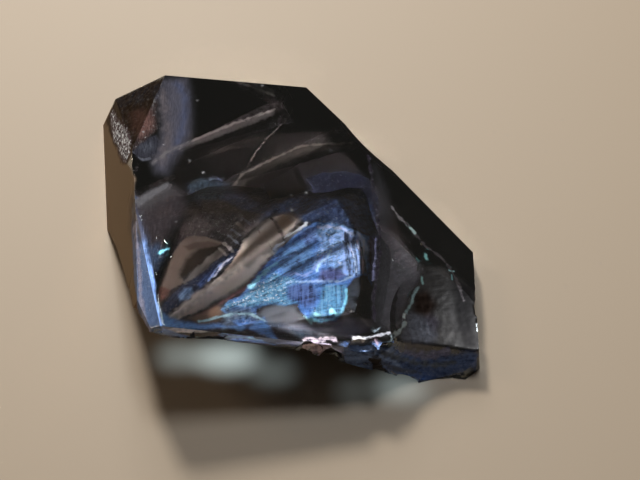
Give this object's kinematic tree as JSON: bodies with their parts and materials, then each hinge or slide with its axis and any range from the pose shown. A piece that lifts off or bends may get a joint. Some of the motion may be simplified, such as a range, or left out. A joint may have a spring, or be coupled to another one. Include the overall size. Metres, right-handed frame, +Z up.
{
  "type": "aqua aura quartz crystal",
  "caption": "Broken piece of clear quartz with a thin blue metallic film, with flat crystal faces on top and a ribbed, fluted shell fracture under one corner.",
  "frame": {"origin": "middle of the bounding box in plan, on the ground that the flat base rests on", "axes": "+X from the tall overhanging corner to the low thin end, +Y to the back, away from the fractured side, +Z up from the base"},
  "size_m": [0.0294, 0.0234, 0.0081],
  "materials": {
    "crystal": "clear with a thin blue metallic film"
  },
  "bodies": {
    "root": {"crystal": "crystal"}
  },
  "joints": []
}
